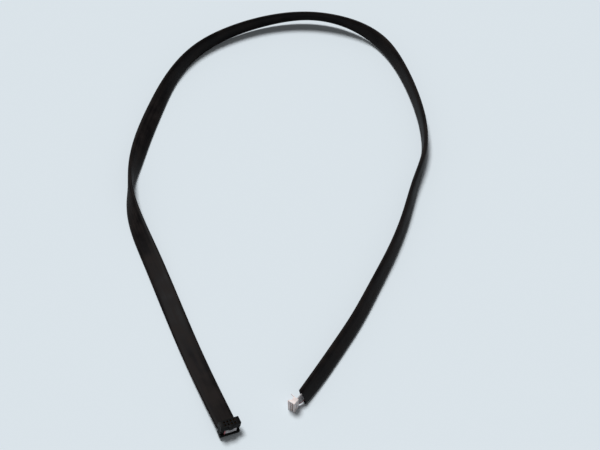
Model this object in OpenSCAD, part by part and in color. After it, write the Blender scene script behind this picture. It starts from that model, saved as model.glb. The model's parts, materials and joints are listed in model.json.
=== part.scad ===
// Sleeved flat ribbon cable: an 8-way ribbon in a flat black sleeve, with a black 2 x 4 socket on one
// end and a white single-row crimp housing on the other. Millimetres, +Z up. The cable lies on the
// plane z = 0 in one wide loop, and the middle of its box is over the origin.

/* [Ribbon] */
// Distance from one core to the next
ribbon_pitch = 1.27; // [1.2:0.01:1.3]
// Thickness of the ribbon over a core
lobe_d = 0.9; // [0.8:0.05:1]
// Thickness of the web between two cores
web_t = 0.5; // [0.4:0.05:0.6]
// Diameter of each stranded core
core_d = 0.38; // [0.32:0.02:0.42]

/* [Sleeve] */
// Width of the sleeve where it lies flat
sleeve_w = 15.6; // [14:0.1:17]
// Thickness of the sleeve where it lies flat
sleeve_t = 2.7; // [2.4:0.1:3.2]
// Width of the sleeve where it stands on its edge
sleeve_edge_w = 14.9; // [14:0.1:16]
// Thickness of the sleeve where it stands on its edge, and bellies open
sleeve_edge_t = 4.5; // [4:0.1:5.5]
// Wall of the sleeve
sleeve_wall = 0.45; // [0.3:0.05:0.55]
// Space between the socket's back and the sleeve
sleeve_gap = 0.4; // [0.2:0.1:2]

/* [Socket] */
// Length of the socket, across the ribbon
socket_l = 15.6; // [14.6:0.1:17]
// Depth of the socket's body, along the ribbon
socket_d = 6.1; // [5.8:0.1:7]
// Height of the body, from the ribbon to the mating face
body_h = 4.5; // [4.2:0.1:8]
// Height of the cover under the body
cover_h = 2.8; // [2.2:0.1:3.2]
// Depth of the cover, along the ribbon
cover_d = 4.8; // [4.6:0.1:5.8]
// Thickness of the strain relief's bar
relief_t = 2.3; // [1:0.1:2.6]
// Width of the polarising key
key_w = 3.8; // [3:0.1:4.5]
// Height of the polarising key over the body's front
key_out = 1.1; // [0.8:0.1:1.3]
// Side of each contact hole in the mating face
pin_hole = 0.9; // [0.8:0.05:1]
// Thickness of the contacts' sheet
contact_t = 0.3; // [0.2:0.05:0.35]

/* [White housing] */
// Distance from one way of the housing to the next
housing_pitch = 1.25; // [1.2:0.01:1.3]
// Height of the housing, along its row of ways
housing_h = 12; // [11.5:0.1:14]
// Length of the housing, from its mating face to its back
housing_l = 5.4; // [4.8:0.1:6.4]
// Width of the housing, from its plain side to the tip of its flange
housing_w = 5.8; // [5.4:0.1:6.6]
// Side of each square cavity
cavity = 1.04; // [1:0.02:1.06]
// Length of the bare run of wires between sleeve and housing
wire_run = 5.4; // [5:0.1:8]

/* [Hidden] */
ways = 8;
columns = ways / 2;

// The lay of the cable, from the socket to the white housing. Each point is [x, y, lift, tilt]: lift is
// the height of the lower edge over the plane, and tilt is 0 where the ribbon lies flat, 90 where it
// stands on its edge and more where it leans out of the loop. The points steer a cubic B-spline.
ROUTE = [
    [-35, -220, 1.6, -10],
    [-54, -180, 0, -5],
    [-71.5, -140, 0, 0],
    [-88, -100, 0, 8],
    [-103, -64, 0, 16],
    [-118.5, -30, 0, 35],
    [-127, 2, 0, 73],
    [-124.5, 34, 0, 128],
    [-120.5, 69, 0, 146],
    [-111.5, 106, 0, 136],
    [-101, 144, 0, 110],
    [-82, 180, 0, 101],
    [-51, 205, 1, 85],
    [-13, 222, 2, 78],
    [27, 227, 5, 62],
    [64, 216.5, 4, 75],
    [95, 193, 1.5, 113],
    [110.5, 160, 0, 105],
    [121, 122, 0, 102],
    [127.5, 83, 0, 101],
    [127, 45, 0, 95],
    [114.5, 10, 0, 77],
    [105.5, -27, 0, 73],
    [92.5, -63, 0, 72],
    [76.5, -97, 0, 66],
    [62, -129, 0, 63],
    [46, -156, 0, 63],
    [32.5, -179, 0, 60],
    [19.5, -198.5, 0, 70]
];
spans = len(ROUTE) - 1;
rings = 42;              // rings of the sleeve along the route
end_points = 6;          // points on each round side of the sleeve's section
bend_steps = 3;          // rings in each quarter bend of the fold
wire_steps = 5;          // rings along each free wire
bend_r = 0.85;           // middle radius of the fold's two bends
heading_step = 0.02;     // share of a span, or of a free wire, over which its heading is taken
clamp_in = 0.35;         // how far the ribbon's cut end lies inside the body's back
channel_in = 1;          // where the ribbon starts to leave the channel, inside the body's back
block_gap = 0.3;         // space between the ribbon's edge and the blocks beside it
ribbon_turn = 12;        // how far the ribbon has turned in the sleeve where it leaves the open mouth
turn_spans = 2;          // spans before the mouth over which it turns
mouth_slant = 0.3;       // slant of the sleeve's cut end, per length across its thickness

// ---- The route and its frames. A frame is [centre, across, face, heading]. ----

function unit(v) = v / norm(v);

// The route with one more point at each end, so that the curve starts and ends on its first and last.
EXTENDED = concat([2 * ROUTE[0] - ROUTE[1]], ROUTE, [2 * ROUTE[spans] - ROUTE[spans - 1]]);

function spline(k, t) =
    (pow(1 - t, 3) * EXTENDED[k] + (3 * pow(t, 3) - 6 * t * t + 4) * EXTENDED[k + 1]
    + (-3 * pow(t, 3) + 3 * t * t + 3 * t + 1) * EXTENDED[k + 2] + pow(t, 3) * EXTENDED[k + 3]) / 6;
function spot(u) = let (k = min(floor(u), spans - 1)) spline(k, u - k);

// How far the section has gone from lying flat, 0, to standing on edge, 1.
function on_edge(s) = pow(sin(s[3]), 2);
function width_at(s) = sleeve_w + (sleeve_edge_w - sleeve_w) * on_edge(s);
function thickness_at(s) = sleeve_t + (sleeve_edge_t - sleeve_t) * on_edge(s);
function centre_at(u) =
    let (s = spot(u), w = width_at(s), t = thickness_at(s))
    [s[0], s[1], s[2] + (w - t) / 2 * abs(sin(s[3])) + t / 2];
function heading_at(u) =
    unit(centre_at(min(u + heading_step, spans)) - centre_at(max(u - heading_step, 0)));
function frame(centre, side, up, heading, tilt) =
    [centre, cos(tilt) * side + sin(tilt) * up, cos(tilt) * up - sin(tilt) * side, heading];
function route_frame(u) =
    let (h = heading_at(u), side = unit(cross(h, [0, 0, 1])))
    frame(centre_at(u), side, cross(side, h), h, spot(u)[3]);
ROUTE_FRAMES = [for (j = [0:rings]) route_frame(spans * j / rings)];

// The frame turned about its heading, and the frame with its face leaning along its heading.
function turned(f, angle) =
    [f[0], cos(angle) * f[1] + sin(angle) * f[2], cos(angle) * f[2] - sin(angle) * f[1], f[3]];
function slanted(f, slope) = [f[0], f[1], f[2] + slope * f[3], f[3]];
SLEEVE_FRAMES = [for (j = [0:rings]) j < rings ? ROUTE_FRAMES[j] : slanted(ROUTE_FRAMES[j], mouth_slant)];
INNER_FRAMES = [for (j = [0:rings]) let (left = spans * (1 - j / rings))
    turned(ROUTE_FRAMES[j], ribbon_turn * pow(max(0, 1 - left / turn_spans), 2))];

function at(f, x, z) = f[0] + x * f[1] + z * f[2];
function lobe_x(way) = (way - (ways + 1) / 2) * ribbon_pitch;

// ---- The socket's own frame: +Y along the cable, +Z out of the mating face. ----

channel_z = relief_t + lobe_d / 2;
cover_z = relief_t + lobe_d;
clamp_z = cover_z + cover_h + lobe_d / 2;
body_z = clamp_z + lobe_d / 2;
socket_top = body_z + body_h;
back_y = socket_d / 2;
front_y = -(cover_d + lobe_d) / 2;   // middle of the ribbon where it runs down the cover's front
clamp_end_y = back_y - clamp_in;
end_block_x = (ways - 1) / 2 * ribbon_pitch + lobe_d / 2 + block_gap;

socket_tilt = ROUTE[0][3];
socket_heading = unit([ROUTE[1][0] - ROUTE[0][0], ROUTE[1][1] - ROUTE[0][1], 0]);
socket_yaw = atan2(socket_heading[1], socket_heading[0]) - 90;
function turned_by_socket(v) =
    let (x = v[0] * cos(socket_tilt) - v[2] * sin(socket_tilt),
         z = v[0] * sin(socket_tilt) + v[2] * cos(socket_tilt))
    [x * cos(socket_yaw) - v[1] * sin(socket_yaw), x * sin(socket_yaw) + v[1] * cos(socket_yaw), z];
socket_exit = turned_by_socket([0, back_y + sleeve_gap, channel_z]);
socket_at = [
    ROUTE[0][0] - socket_exit[0], ROUTE[0][1] - socket_exit[1],
    socket_l / 2 * abs(sin(socket_tilt))
];
function socket_frame(y, z, turn) =
    [socket_at + turned_by_socket([0, y, z]), turned_by_socket([1, 0, 0]),
     turned_by_socket([0, -cos(turn), -sin(turn)]), turned_by_socket([0, -sin(turn), cos(turn)])];

// The ribbon from its cut end in the clamp, round the cover's front and back under the cover.
FOLD_FRAMES = concat(
    [socket_frame(clamp_end_y, clamp_z, 90)],
    [for (k = [0:bend_steps]) let (a = 90 + 90 * k / bend_steps)
        socket_frame(front_y + bend_r + bend_r * cos(a), clamp_z - bend_r + bend_r * sin(a), a)],
    [for (k = [0:bend_steps]) let (a = 180 + 90 * k / bend_steps)
        socket_frame(front_y + bend_r + bend_r * cos(a), channel_z + bend_r + bend_r * sin(a), a)],
    [socket_frame(back_y - channel_in, channel_z, 270)]
);

module on_socket() {
    translate(socket_at) rotate([0, 0, socket_yaw]) rotate([0, -socket_tilt, 0]) children();
}

// ---- The white housing's own frame: -Y out of the mating face, +Z along the row. ----

row_x = 1.3;             // the row of cavities, off the middle towards the plain side
housing_turn = -2;       // how far the wires turn the housing from the sleeve's heading
wires_aside = 1.4;       // how far they lead it aside
wire_in = 0.85;          // length of insulated wire inside the housing
bare_l = 1;              // length of bare core in the terminal
mouth = INNER_FRAMES[rings];
mouth_heading = unit([mouth[3][0], mouth[3][1], 0]);
housing_angle = atan2(mouth[3][1], mouth[3][0]) + housing_turn;
housing_heading = [cos(housing_angle), sin(housing_angle), 0];
housing_back = [mouth[0][0], mouth[0][1], housing_h / 2]
    + wire_run * mouth_heading + wires_aside * cross(mouth_heading, [0, 0, 1]);
function way_z(way) = (way - (ways + 1) / 2) * housing_pitch;

module on_housing() {
    translate(housing_back) rotate([0, 0, housing_angle + 90])
        translate([-row_x, -housing_l / 2, -housing_h / 2]) children();
}

// One free wire: it leaves the ribbon along the sleeve's heading and enters the housing squarely.
function wire_point(way, t) =
    let (a = at(mouth, lobe_x(way), 0), b = housing_back + [0, 0, way_z(way)], l = wire_run)
    (2 * pow(t, 3) - 3 * t * t + 1) * a + (pow(t, 3) - 2 * t * t + t) * l * mouth[3]
    + (3 * t * t - 2 * pow(t, 3)) * b + (pow(t, 3) - t * t) * l * housing_heading;
function wire_frame(way, t) =
    let (ahead = wire_point(way, t + heading_step), behind = wire_point(way, t - heading_step),
         h = t == 1 ? housing_heading : unit(ahead - behind),
         up = unit((1 - t) * mouth[1] + t * [0, 0, 1]), face = unit(cross(up, h)))
    [wire_point(way, t), cross(h, face), face, h];
function straight_on(f, distance) = [f[0] + distance * f[3], f[1], f[2], f[3]];

// ---- Sections and sweeps ----

// Flat section with round sides, as [x, z] points.
function flat_ring(f, w, t) = [
    for (side = [1, -1]) for (k = [0:end_points - 1])
        let (a = 90 - 180 * k / (end_points - 1))
        at(f, side * ((w - t) / 2 + t / 2 * cos(a)), side * t / 2 * sin(a))
];
// Six-sided ring round [x, 0], with its points up and down.
function six_ring(f, x, r) = [for (k = [0:5]) let (a = 90 - 60 * k) at(f, x + r * cos(a), r * sin(a))];
// One lobe of the ribbon: its peaks, and half of the web on each side that has a neighbour.
function lobe_ring(f, way) =
    let (x = lobe_x(way), r = lobe_d / 2,
         right = way < ways ? [ribbon_pitch / 2, web_t / 2] : [r * cos(30), r * sin(30)],
         left = way > 1 ? [ribbon_pitch / 2, web_t / 2] : [r * cos(30), r * sin(30)])
    [at(f, x, r), at(f, x + right[0], right[1]), at(f, x + right[0], -right[1]),
     at(f, x, -r), at(f, x - left[0], -left[1]), at(f, x - left[0], left[1])];

function joined(lists) = [for (l = lists) each l];
// Faces between ring j and ring j + 1 of n points each, as pairs of triangles. The first ring starts at
// point first. The sides named in skip stay open, and inward faces line a bore.
function band(first, n, j, skip = [], inward = false) = [
    for (k = [0:n - 1]) if (len(search(k, skip)) == 0)
        let (a = first + j * n, b = a + n, m = (k + 1) % n)
        each inward ? [[a + k, b + m, b + k], [a + k, a + m, b + m]]
                    : [[a + k, b + k, b + m], [a + k, b + m, a + m]]
];
// Flat faces that close a tube between an outer and an inner ring of n points each.
function end_cap(outer, inner, n, last = false) = [
    for (k = [0:n - 1]) let (m = (k + 1) % n)
        last ? [outer + m, outer + k, inner + k, inner + m] : [outer + k, outer + m, inner + m, inner + k]
];

// A solid swept through rings of n points each.
module swept(ring_list) {
    n = len(ring_list[0]);
    last = len(ring_list) - 1;
    polyhedron(
        joined(ring_list),
        concat(
            joined([for (j = [0:last - 1]) band(0, n, j)]),
            [[for (k = [0:n - 1]) k], [for (k = [n - 1:-1:0]) last * n + k]]
        )
    );
}

// A tube swept through matching rings of its outside and its bore.
module swept_tube(outer, bore) {
    n = len(outer[0]);
    last = len(outer) - 1;
    inside = n * len(outer);
    polyhedron(
        concat(joined(outer), joined(bore)),
        concat(
            joined([for (j = [0:last - 1]) band(0, n, j)]),
            joined([for (j = [0:last - 1]) band(inside, n, j, inward = true)]),
            end_cap(0, inside, n),
            end_cap(last * n, inside + last * n, n, last = true)
        )
    );
}

// ---- Ribbon and sleeve ----

function tube_rings(inset) = [for (j = [0:rings]) let (s = spot(spans * j / rings))
    flat_ring(SLEEVE_FRAMES[j], width_at(s) - 2 * inset, thickness_at(s) - 2 * inset)];

module sleeve() {
    color([0.09, 0.09, 0.1]) swept_tube(tube_rings(0), tube_rings(sleeve_wall));
}

RIBBON_FRAMES = concat(FOLD_FRAMES, INNER_FRAMES);
last_ribbon = len(RIBBON_FRAMES) - 1;
function wire_frames(way) = concat(
    [for (k = [1:wire_steps]) wire_frame(way, k / wire_steps)],
    [straight_on(wire_frame(way, 1), wire_in)]
);
function core_rings(way) = concat(
    [for (f = RIBBON_FRAMES) six_ring(f, lobe_x(way), core_d / 2)],
    [for (f = wire_frames(way)) six_ring(f, 0, core_d / 2)]
);
function jacket_rings(way) = concat(
    [for (f = RIBBON_FRAMES) lobe_ring(f, way)],
    [for (f = wire_frames(way)) six_ring(f, 0, lobe_d / 2)]
);

// All eight lobes in one skin: the webs hold them together up to the sleeve's mouth, and from there on
// each is a wire of its own.
module ribbon_insulation() {
    sides = 6;
    ring_count = last_ribbon + 1 + wire_steps + 1;
    way_size = ring_count * sides;
    right_web = 1;
    left_web = 4;
    function webs(way, j) =
        j >= last_ribbon ? [] : way == 1 ? [right_web] : way == ways ? [left_web] : [right_web, left_web];
    color([0.72, 0.72, 0.73]) difference() {
        polyhedron(
            concat(joined([for (w = [1:ways]) joined(jacket_rings(w))]),
                   joined([for (w = [1:ways]) joined(core_rings(w))])),
            joined([for (w = [1:ways]) let (skin = (w - 1) * way_size, bore = skin + ways * way_size) concat(
                joined([for (j = [0:ring_count - 2]) band(skin, sides, j, skip = webs(w, j))]),
                joined([for (j = [0:ring_count - 2]) band(bore, sides, j, inward = true)]),
                end_cap(skin, bore, sides),
                end_cap(skin + way_size - sides, bore + way_size - sides, sides, last = true)
            )])
        );
        on_socket() for (w = [1:ways]) fork(w);
    }
}

module conductor(way) {
    color([0.8, 0.45, 0.25]) difference() {
        swept(concat(
            core_rings(way),
            [six_ring(straight_on(wire_frame(way, 1), wire_in + bare_l), 0, core_d / 2)]
        ));
        on_socket() fork(way);
    }
}

// ---- Socket ----

fork_slot = 0.28;        // the fork's gap, a little less than the core, which it grips
tine_w = 0.26;
fork_in = 0.8;           // how far the fork goes into the cover
fit = 0.05;              // clearance round pieces that are slid in
leaf_t = 0.18;           // spring leaves of a contact
leaf_w = 0.8;
foot_h = 0.3;
plate_h = 0.9;
lead_in = 0.35;          // how much wider and deeper the pin hole's mouth is
latch_l = 2.8;           // breadth of the cover's latch arms
latch_t = 1.4;
latch_h = 3;
clip_l = 2;              // breadth of the strain relief's arms
clip_t = 0.75;
clip_h = 1.9;
corner = 0.35;           // chamfer of the moulded corners
key_foot = 0.5;          // height of the key's lower end over the body's lower face
shelf_h = 1;             // roof over each contact, with the pin hole through it

function column_x(way) = (floor((way - 1) / 2) - (columns - 1) / 2) * 2 * ribbon_pitch;
function row_y(way) = way % 2 == 1 ? -ribbon_pitch : ribbon_pitch;

// Rectangle with its corners cut, centred, standing from z = 0.
module chamfered_block(l, d, h, c) {
    x = l / 2;
    y = d / 2;
    linear_extrude(h) polygon([
        [-x + c, -y], [x - c, -y], [x, -y + c], [x, y - c],
        [x - c, y], [-x + c, y], [-x, y - c], [-x, -y + c]
    ]);
}

module box(from, to) {
    translate(from) cube(to - from);
}

module both_ends() {
    children();
    mirror([1, 0, 0]) children();
}

// The two tines that grip a core, from inside the cover up into the body.
module fork(way) {
    x = lobe_x(way);
    y = row_y(way);
    for (side = [-1, 1]) {
        middle = x + side * (fork_slot + tine_w) / 2;
        box([middle - tine_w / 2, y - contact_t / 2, body_z - lobe_d - fork_in],
            [middle + tine_w / 2, y + contact_t / 2, body_z + foot_h]);
    }
}

module idc_contact(way) {
    x = column_x(way);
    y = row_y(way);
    f = lobe_x(way);
    reach = fork_slot / 2 + tine_w;
    foot_z = body_z + plate_h;
    leaf_y = pin_hole / 2 + leaf_t;
    color([0.85, 0.72, 0.4]) on_socket() {
        fork(way);
        box([min(f - reach, x - leaf_w / 2), y - contact_t / 2, body_z],
            [max(f + reach, x + leaf_w / 2), y + contact_t / 2, foot_z + fit / 2]);
        box([x - leaf_w / 2, y - leaf_y, foot_z], [x + leaf_w / 2, y + leaf_y, foot_z + foot_h]);
        for (side = [-1, 1]) {
            leaf = y + side * (leaf_y - leaf_t / 2);
            box([x - leaf_w / 2, leaf - leaf_t / 2, foot_z],
                [x + leaf_w / 2, leaf + leaf_t / 2, socket_top - shelf_h - fit]);
        }
    }
}

// What is cut from the body for one contact: the pin hole, its lead-in, the cavity and the plate's slot.
module contact_room(way) {
    x = column_x(way);
    y = row_y(way);
    f = lobe_x(way);
    reach = fork_slot / 2 + tine_w;
    foot_z = body_z + plate_h;
    half_x = leaf_w / 2 + fit;
    half_y = pin_hole / 2 + leaf_t + fit;
    translate([x, y, socket_top - lead_in])
        linear_extrude(2 * lead_in, scale = 1 + 4 * lead_in / pin_hole) square(pin_hole, center = true);
    box([x - pin_hole / 2, y - pin_hole / 2, socket_top - shelf_h - fit],
        [x + pin_hole / 2, y + pin_hole / 2, socket_top]);
    box([x - half_x, y - half_y, foot_z], [x + half_x, y + half_y, socket_top - shelf_h]);
    box([min(f - reach, x - leaf_w / 2), y - contact_t / 2, body_z - fit],
        [max(f + reach, x + leaf_w / 2), y + contact_t / 2, foot_z + fit]);
}

module idc_body() {
    color([0.1, 0.1, 0.11]) on_socket() difference() {
        union() {
            translate([0, 0, body_z]) chamfered_block(socket_l, socket_d, body_h, corner);
            translate([0, -socket_d / 2, body_z + key_foot])
                chamfered_block(key_w, 2 * key_out, body_h - key_foot, corner);
        }
        for (w = [1:ways]) contact_room(w);
        both_ends()
            box([socket_l / 2 - latch_t - fit, -latch_l / 2 - fit, body_z - fit],
                [socket_l / 2 + fit, latch_l / 2 + fit, body_z + latch_h + fit]);
    }
}

module idc_cover() {
    color([0.1, 0.1, 0.11]) on_socket() difference() {
        union() {
            translate([0, 0, cover_z]) chamfered_block(socket_l, cover_d, cover_h, corner);
            both_ends() {
                box([end_block_x, -cover_d / 2 + corner, cover_z],
                    [socket_l / 2 - corner, cover_d / 2 - corner, body_z]);
                box([socket_l / 2 - latch_t, -latch_l / 2, cover_z],
                    [socket_l / 2, latch_l / 2, body_z + latch_h]);
            }
        }
        for (w = [1:ways]) fork(w);
        // The edges that the ribbon bends round.
        for (z = [cover_z, cover_z + cover_h])
            translate([0, -cover_d / 2, z]) rotate([45, 0, 0])
                cube([2 * end_block_x, corner * sqrt(2), corner * sqrt(2)], center = true);
        both_ends()
            box([socket_l / 2 - clip_t - fit, -clip_l / 2 - fit, cover_z - fit],
                [socket_l / 2 + fit, clip_l / 2 + fit, cover_z + clip_h + fit]);
    }
}

module strain_relief() {
    color([0.1, 0.1, 0.11]) on_socket() {
        translate([0, -lobe_d / 2, 0]) chamfered_block(socket_l, cover_d + lobe_d, relief_t, corner);
        both_ends() {
            box([end_block_x, -cover_d / 2 + corner, 0],
                [socket_l / 2 - corner, cover_d / 2 - corner, cover_z]);
            box([socket_l / 2 - clip_t, -clip_l / 2, 0],
                [socket_l / 2, clip_l / 2, cover_z + clip_h]);
        }
    }
}

// ---- White housing ----

flange_t = 0.3;          // tip of the wedge-shaped flange at the mating face
notch_in = 1.9;          // depth of the recess behind it
ear_l = 3.3;             // the ears at both ends of the row, at the back over the recess
ear_h = 0.8;
ear_t = 0.5;             // thickness of an ear at its foot
ear_tip = 0.2;           // and at its tip
ear_lean = 0.6;          // how far its tip stands behind the back
pocket_w = 1.2;          // blind pocket beside the row, in the mating face
pocket_in = 0.9;
pocket_wall = 0.4;       // wall between the pocket and the row
window_l = 1.3;          // window over each terminal in the plain side
window_w = 0.6;
terminal_front = 0.5;    // how far the terminals stand behind the mating face
terminal_gap = 0.08;     // clearance between a terminal and its cavity
socket_hole = 0.46;      // square hole of a terminal
terminal_wall = 0.14;

module crimp_housing() {
    x = housing_w / 2;
    y = housing_l / 2;
    recess_x = notch_in - x;
    color([0.93, 0.91, 0.9]) on_housing() {
        difference() {
            linear_extrude(housing_h) polygon([
                [-x, -y], [x, -y], [x, y], [recess_x, y],
                [recess_x, -y + flange_t + notch_in], [-x, -y + flange_t]
            ]);
            for (w = [1:ways]) translate([row_x, 0, housing_h / 2 + way_z(w)]) {
                cube([cavity, housing_l + 2 * fit, cavity], center = true);
                translate([(x - row_x) / 2 + fit, 0, 0])
                    cube([x - row_x, window_l, window_w], center = true);
            }
            pocket_h = (ways - 1) * housing_pitch + cavity;
            pocket_x = row_x - cavity / 2 - pocket_wall;
            box([pocket_x - pocket_w, -y - fit, (housing_h - pocket_h) / 2],
                [pocket_x, -y + pocket_in, (housing_h + pocket_h) / 2]);
        }
        for (z = [0, housing_h - ear_h]) translate([recess_x, y, z])
            linear_extrude(ear_h) polygon([
                [ear_t, -ear_t], [ear_t, 0], [-ear_l, ear_lean], [-ear_l, ear_lean - ear_tip], [0, -ear_t]
            ]);
    }
}

module crimp_terminal(way) {
    side = cavity - terminal_gap;
    front = -housing_l / 2 + terminal_front;
    back = housing_l / 2 - wire_in;
    color([0.85, 0.84, 0.8]) on_housing()
        translate([row_x, 0, housing_h / 2 + way_z(way)]) difference() {
            box([-side / 2, front, -side / 2], [side / 2, back, side / 2]);
            box([-socket_hole / 2, front - fit, -socket_hole / 2],
                [socket_hole / 2, back - bare_l - terminal_wall, socket_hole / 2]);
            box([-core_d / 2, back - bare_l, -core_d / 2], [core_d / 2, back + fit, core_d / 2]);
        }
}

sleeve();
ribbon_insulation();
idc_body();
idc_cover();
strain_relief();
crimp_housing();
conductor(1);  // conductor_1
conductor(2);  // conductor_2
conductor(3);  // conductor_3
conductor(4);  // conductor_4
conductor(5);  // conductor_5
conductor(6);  // conductor_6
conductor(7);  // conductor_7
conductor(8);  // conductor_8
idc_contact(1);  // idc_contact_1
idc_contact(2);  // idc_contact_2
idc_contact(3);  // idc_contact_3
idc_contact(4);  // idc_contact_4
idc_contact(5);  // idc_contact_5
idc_contact(6);  // idc_contact_6
idc_contact(7);  // idc_contact_7
idc_contact(8);  // idc_contact_8
crimp_terminal(1);  // crimp_terminal_1
crimp_terminal(2);  // crimp_terminal_2
crimp_terminal(3);  // crimp_terminal_3
crimp_terminal(4);  // crimp_terminal_4
crimp_terminal(5);  // crimp_terminal_5
crimp_terminal(6);  // crimp_terminal_6
crimp_terminal(7);  // crimp_terminal_7
crimp_terminal(8);  // crimp_terminal_8
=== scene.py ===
"""Ribbon cable: an eight-way ribbon in a flat black sleeve, with a black 2 x 4 insulation displacement
socket on one end and a white single-row crimp housing on the other. Metres, +Z up."""

import json
import math
from collections import namedtuple

import bmesh
import bpy
import numpy as np
from bpy.props import FloatProperty, FloatVectorProperty, IntProperty, PointerProperty
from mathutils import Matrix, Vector


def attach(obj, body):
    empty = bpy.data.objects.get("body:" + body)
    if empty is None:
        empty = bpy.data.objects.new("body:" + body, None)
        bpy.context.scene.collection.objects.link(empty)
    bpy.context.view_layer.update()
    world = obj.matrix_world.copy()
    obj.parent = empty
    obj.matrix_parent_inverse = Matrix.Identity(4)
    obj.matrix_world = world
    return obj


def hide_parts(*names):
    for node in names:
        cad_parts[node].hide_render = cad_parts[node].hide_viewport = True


bl_info = {
    "name": "Ribbon Cable",
    "version": (1, 0, 0),
    "blender": (4, 5, 0),
    "location": "View3D > Sidebar > Ribbon Cable",
    "description": "Builds a sleeved eight-way ribbon cable with its socket and its crimp housing",
    "category": "Object",
}

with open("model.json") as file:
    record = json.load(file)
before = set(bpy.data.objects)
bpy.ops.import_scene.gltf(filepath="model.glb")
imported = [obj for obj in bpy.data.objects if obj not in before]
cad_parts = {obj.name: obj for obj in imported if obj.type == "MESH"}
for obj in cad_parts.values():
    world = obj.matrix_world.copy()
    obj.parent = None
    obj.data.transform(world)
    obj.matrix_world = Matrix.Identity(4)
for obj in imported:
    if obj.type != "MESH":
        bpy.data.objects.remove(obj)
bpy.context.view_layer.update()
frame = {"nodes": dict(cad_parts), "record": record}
MM = 0.001
WAYS = range(1, 9)
MIDDLE_WAY = 4.5

# The lay of the cable from the socket to the white housing. Each point is (x, y, lift, tilt): lift is the
# height of the lower edge over the plane, and tilt, in degrees, is 0 where the ribbon lies flat, 90
# where it stands on its edge and more where it leans out of the loop.
ROUTE = np.array([
    (-0.035, -0.220, 0.0016, -10),
    (-0.054, -0.180, 0, -5),
    (-0.0715, -0.140, 0, 0),
    (-0.088, -0.100, 0, 8),
    (-0.103, -0.064, 0, 16),
    (-0.1185, -0.030, 0, 35),
    (-0.127, 0.002, 0, 73),
    (-0.1245, 0.034, 0, 128),
    (-0.1205, 0.069, 0, 146),
    (-0.1115, 0.106, 0, 136),
    (-0.101, 0.144, 0, 110),
    (-0.082, 0.180, 0, 101),
    (-0.051, 0.205, 0.001, 85),
    (-0.013, 0.222, 0.002, 78),
    (0.027, 0.227, 0.005, 62),
    (0.064, 0.2165, 0.004, 75),
    (0.095, 0.193, 0.0015, 113),
    (0.1105, 0.160, 0, 105),
    (0.121, 0.122, 0, 102),
    (0.1275, 0.083, 0, 101),
    (0.127, 0.045, 0, 95),
    (0.1145, 0.010, 0, 77),
    (0.1055, -0.027, 0, 73),
    (0.0925, -0.063, 0, 72),
    (0.0765, -0.097, 0, 66),
    (0.062, -0.129, 0, 63),
    (0.046, -0.156, 0, 63),
    (0.0325, -0.179, 0, 60),
    (0.0195, -0.1985, 0, 70),
])
SPANS = len(ROUTE) - 1
GUIDE = np.vstack([2 * ROUTE[0] - ROUTE[1], ROUTE, 2 * ROUTE[-1] - ROUTE[-2]])
HEADING_STEP = 0.02   # share of a span, or of a free wire, over which its heading is taken

# Where the sleeve is pressed in: (spans along the route, place across from -1 to 1, depth, radius).
DENTS = (
    (1.55, 0.35, 0.00034, 0.0055),
    (2.28, -0.30, 0.00026, 0.0065),
    (2.83, 0.30, 0.00040, 0.0060),
    (3.20, 0.45, 0.00030, 0.0048),
    (3.72, -0.10, 0.00022, 0.0070),
    (4.35, 0.25, 0.00028, 0.0065),
)

# The sleeve's sections: 2 gives an ellipse, and more gives fuller sides. Its wide faces sink in places
# about UNEVEN_LENGTH long.
FLAT_FULLNESS = 5
EDGE_FULLNESS = 3.2
UNEVEN_LENGTH = 0.011
UNEVEN_SEED = 4.0

# How finely curves are drawn: steps in a quarter bend of the fold, in half a lobe, along a free wire,
# round it, round a strand and round a crimp barrel, and points on the curve that a sleeve's section is
# read from. The cores are mostly hidden and have fewer steps.
FOLD_STEPS = 10
CORE_FOLD_STEPS = 5
LOBE_STEPS = 7
WIRE_STEPS = 20
CORE_WIRE_STEPS = 8
WIRE_SIDES = 24
STRAND_STEPS = 3
BARREL_STEPS = 20
CURVE_POINTS = 4001

STRANDS_ROUND = 6   # strands that lie round the middle one

# Points of a mesh nearer than a weld are one. Angles say which edges are flat, rounded or creased.
SEAM_WELD = 1e-6
MOULD_WELD = 2e-6
FLAT_ANGLE = math.radians(1)
ROUNDED_ANGLE = math.radians(25)
MOULD_CREASE = math.radians(38)
TUBE_CREASE = math.radians(50)

# How far a tine's point lies in from its outer edge, and its shoulder over its point, as shares of its
# width. Then one spring leaf from its tip to its foot, as shares of its widest reach and of its height.
TINE_POINT = 0.35
TINE_SHOULDER = 0.9
LEAF_BRANCH = ((0.92, 1), (0.72, 0.93), (0.55, 0.86), (0.52, 0.8), (0.58, 0.7), (0.78, 0.5),
               (0.95, 0.34), (1, 0.27), (0.97, 0.215))
LEAF_FOOT = 0.8

# Most of a noise lies between these two values.
NOISE_LOW = 0.3
NOISE_HIGH = 0.7
DIE_LINES = 3.6   # radius of the circle on which the die lines' noise is wrapped

# A section of the cable or of a wire. spread is its half width, its half thickness and how far it has
# gone from lying flat, 0, to standing on edge, 1.
Frame = namedtuple("Frame", "centre across face heading spread")
PLAIN = (1.0, 1.0, 0.0)


# ---- Colours, nodes and meshes ----

def linear(code):
    """Linear red, green, blue and alpha of an sRGB hex value."""
    shares = [int(code[k:k + 2], 16) / 255 for k in (1, 3, 5)]
    return (*(s / 12.92 if s <= 0.04045 else ((s + 0.055) / 1.055) ** 2.4 for s in shares), 1.0)



def add_node(tree, kind, options=None, inputs=None):
    """Add a node. An input that is a node or a socket is linked, and any other value is set."""
    node = tree.nodes.new(kind)
    for name, value in (options or {}).items():
        setattr(node, name, value)
    for key, value in (inputs or {}).items():
        if isinstance(value, bpy.types.Node):
            value = value.outputs[0]
        if isinstance(value, bpy.types.NodeSocket):
            tree.links.new(value, node.inputs[key])
        else:
            node.inputs[key].default_value = value
    return node


def new_material(name):
    """An empty node material."""
    material = bpy.data.materials.new(name)
    material.use_nodes = True
    material.node_tree.nodes.clear()
    return material


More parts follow.
